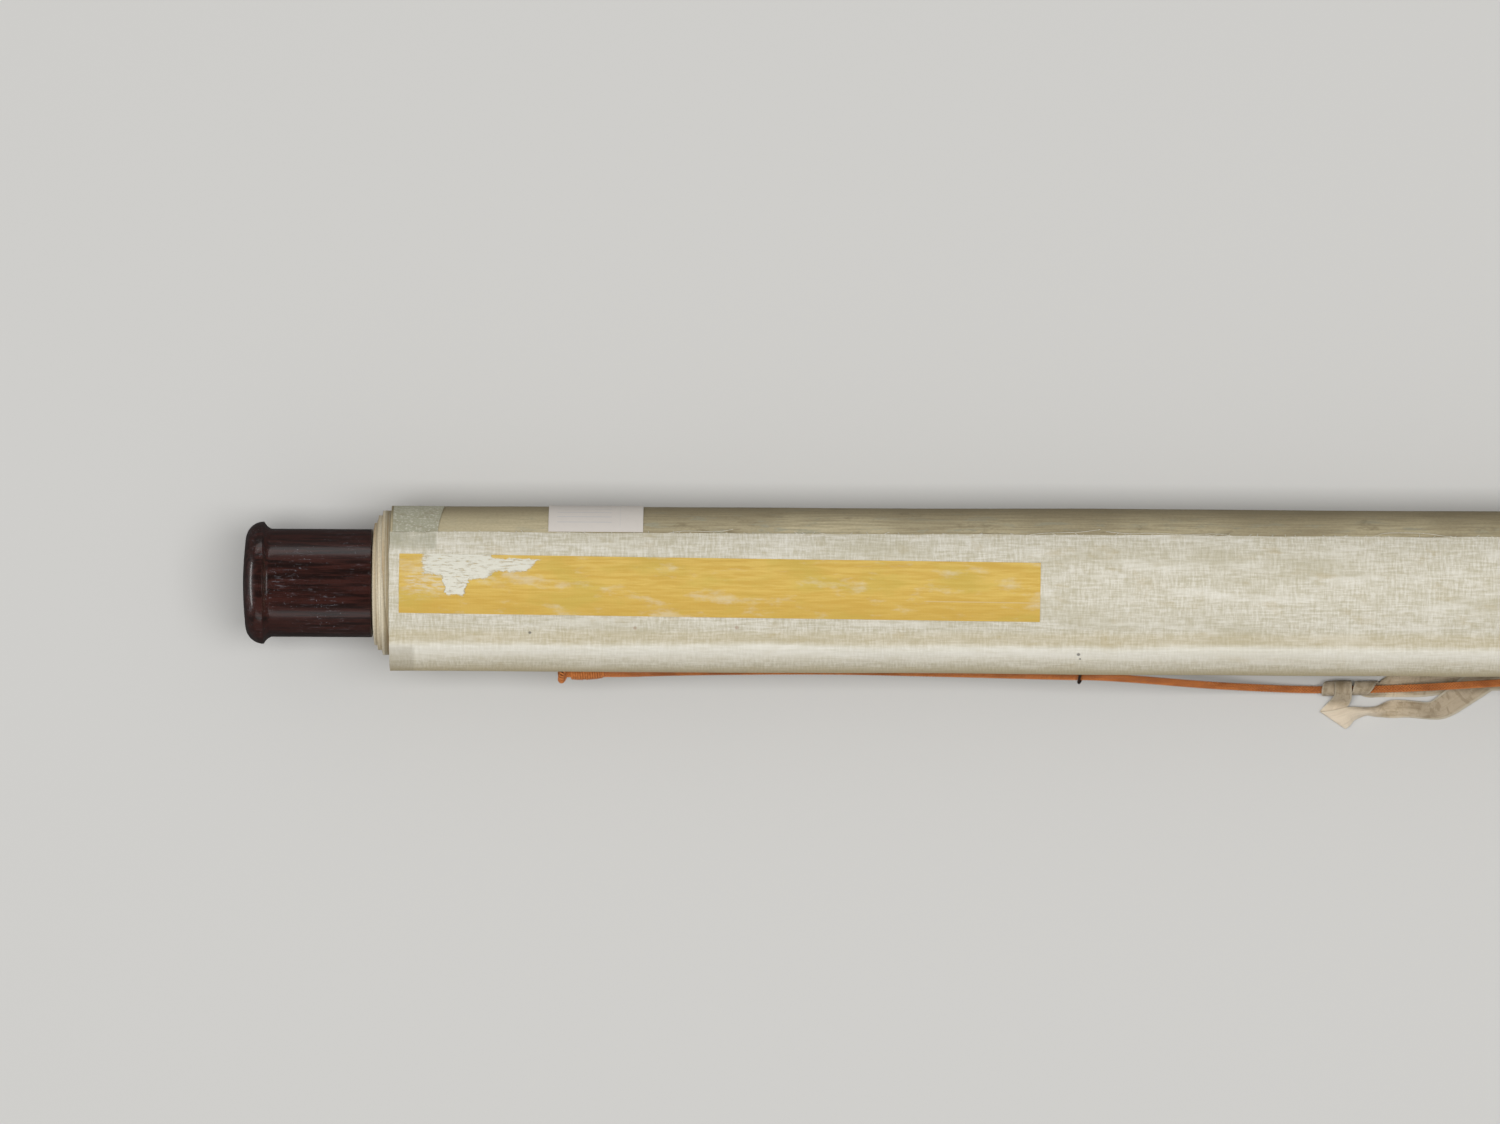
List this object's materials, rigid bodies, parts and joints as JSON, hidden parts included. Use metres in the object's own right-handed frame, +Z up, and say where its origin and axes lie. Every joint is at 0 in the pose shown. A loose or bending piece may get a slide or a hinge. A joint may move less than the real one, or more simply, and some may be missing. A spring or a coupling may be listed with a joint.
{
  "type": "rolled hanging scroll",
  "caption": "Rolled paper hanging scroll on its side, with turned wooden roller knobs, cloth cover, title slip, hanging cord and tie ribbon.",
  "frame": {"origin": "middle of the small flat spot under the roll, where it rests", "axes": "+Z up, +X along the roll with the pictured knob at -X, stave and cord on the -Y side"},
  "size_m": [0.746, 0.0793, 0.0543],
  "materials": {
    "mounted_paper": "matte",
    "stave_wood": "matte",
    "cover_cloth": "matte",
    "slip_paper": "matte",
    "label_paper": "matte",
    "patch_paper": "matte",
    "rod_wood": "matte",
    "knob_wood": "satin",
    "eyelet_wire": "satin",
    "cord_braid": "matte",
    "ribbon_tape": "matte"
  },
  "bodies": {
    "root": {"scroll": "mounted_paper", "top_stave": "stave_wood", "cover_cloth": "cover_cloth", "title_slip": "slip_paper", "label": "label_paper", "corner_patch_left": "patch_paper", "corner_patch_right": "patch_paper", "roller_rod": "rod_wood", "knob_left": "knob_wood", "knob_right": "knob_wood", "eyelet_outer_left": "eyelet_wire", "eyelet_inner_left": "eyelet_wire", "eyelet_inner_right": "eyelet_wire", "eyelet_outer_right": "eyelet_wire", "hanging_cord": "cord_braid", "cord_knot_left": "cord_braid", "cord_knot_right": "cord_braid", "tie_ribbon": "ribbon_tape"}
  },
  "joints": []
}
